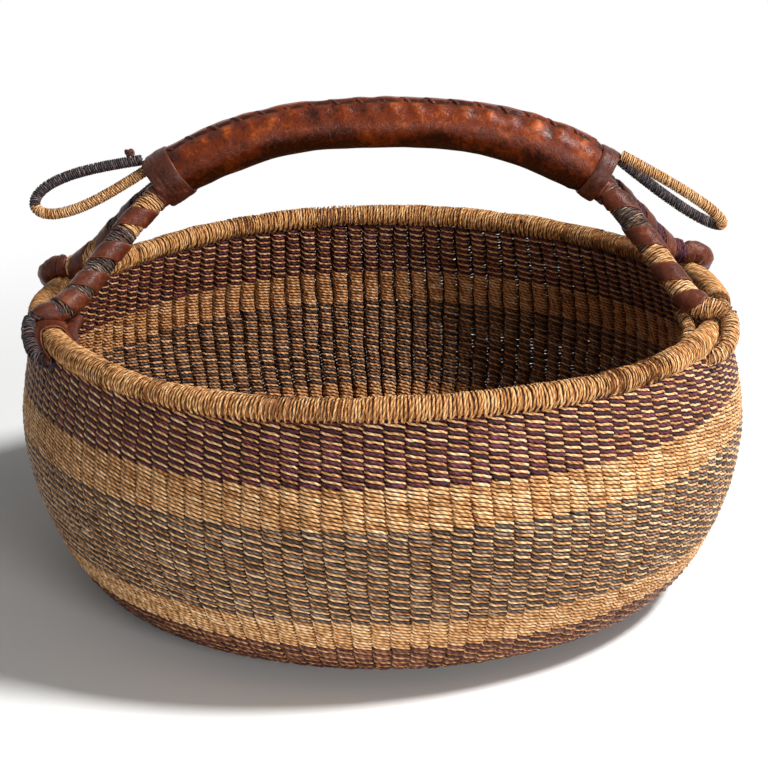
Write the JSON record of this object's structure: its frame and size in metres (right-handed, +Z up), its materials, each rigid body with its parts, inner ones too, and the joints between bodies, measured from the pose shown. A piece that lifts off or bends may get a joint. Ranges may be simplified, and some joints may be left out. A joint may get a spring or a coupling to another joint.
{
  "type": "bolga basket",
  "caption": "Large round twined grass market basket with banded wall, wrapped rim and an arched leather-bound handle whose spread legs loop round the rim.",
  "frame": {"origin": "on the surface the basket stands on, under the middle of its flat base", "axes": "+Z up; X runs along the handle, from its left end to its right end as the picture shows it; -Y is the front"},
  "size_m": [0.4216, 0.4216, 0.2874],
  "materials": {
    "straw_grass": "dried elephant grass twisted into strands, natural straw colour, satin",
    "grey_grass": "dried grass dyed a faded indigo grey, satin",
    "purple_grass": "dried grass dyed dark purple brown, satin",
    "russet_grass": "dried grass dyed russet and faded purple, satin",
    "dark_grass": "dried grass dyed near black, satin",
    "leather": "vegetable-tanned goat leather, reddish brown, glossy on its ridges",
    "dark_leather": "dark brown leather, worn"
  },
  "bodies": {
    "root": {"base_underside": "straw_grass", "base_inside": "straw_grass", "outer_heel_band": "russet_grass", "inner_heel_band": "russet_grass", "outer_foot_band": "russet_grass", "inner_foot_band": "russet_grass", "outer_lower_straw_band": "straw_grass", "inner_lower_straw_band": "straw_grass", "outer_grey_band": "grey_grass", "inner_grey_band": "grey_grass", "outer_middle_straw_band": "straw_grass", "inner_middle_straw_band": "straw_grass", "outer_purple_band": "purple_grass", "inner_purple_band": "purple_grass", "stakes": "straw_grass", "rim_core": "straw_grass", "rim_wrap": "straw_grass", "grip_core": "straw_grass", "grip_leather": "leather", "grip_lacing": "dark_leather", "left_collar": "dark_leather", "right_collar": "dark_leather", "front_left_leg_core": "straw_grass", "front_left_leg_wrap": "grey_grass", "front_left_leg_strap": "leather", "front_left_eye_wrap": "dark_grass", "rear_left_leg_core": "straw_grass", "rear_left_leg_wrap": "straw_grass", "rear_left_leg_strap": "leather", "rear_left_eye_wrap": "leather", "front_right_leg_core": "straw_grass", "front_right_leg_wrap": "grey_grass", "front_right_leg_strap": "leather", "front_right_eye_wrap": "straw_grass", "rear_right_leg_core": "straw_grass", "rear_right_leg_wrap": "purple_grass", "rear_right_leg_strap": "leather", "rear_right_eye_wrap": "leather", "front_left_rim_strap": "leather", "left_loop_dark_limb": "dark_grass", "left_loop_straw_limb": "straw_grass", "right_loop_dark_limb": "dark_grass", "right_loop_straw_limb": "straw_grass", "left_loop_knot": "dark_leather"}
  },
  "joints": []
}
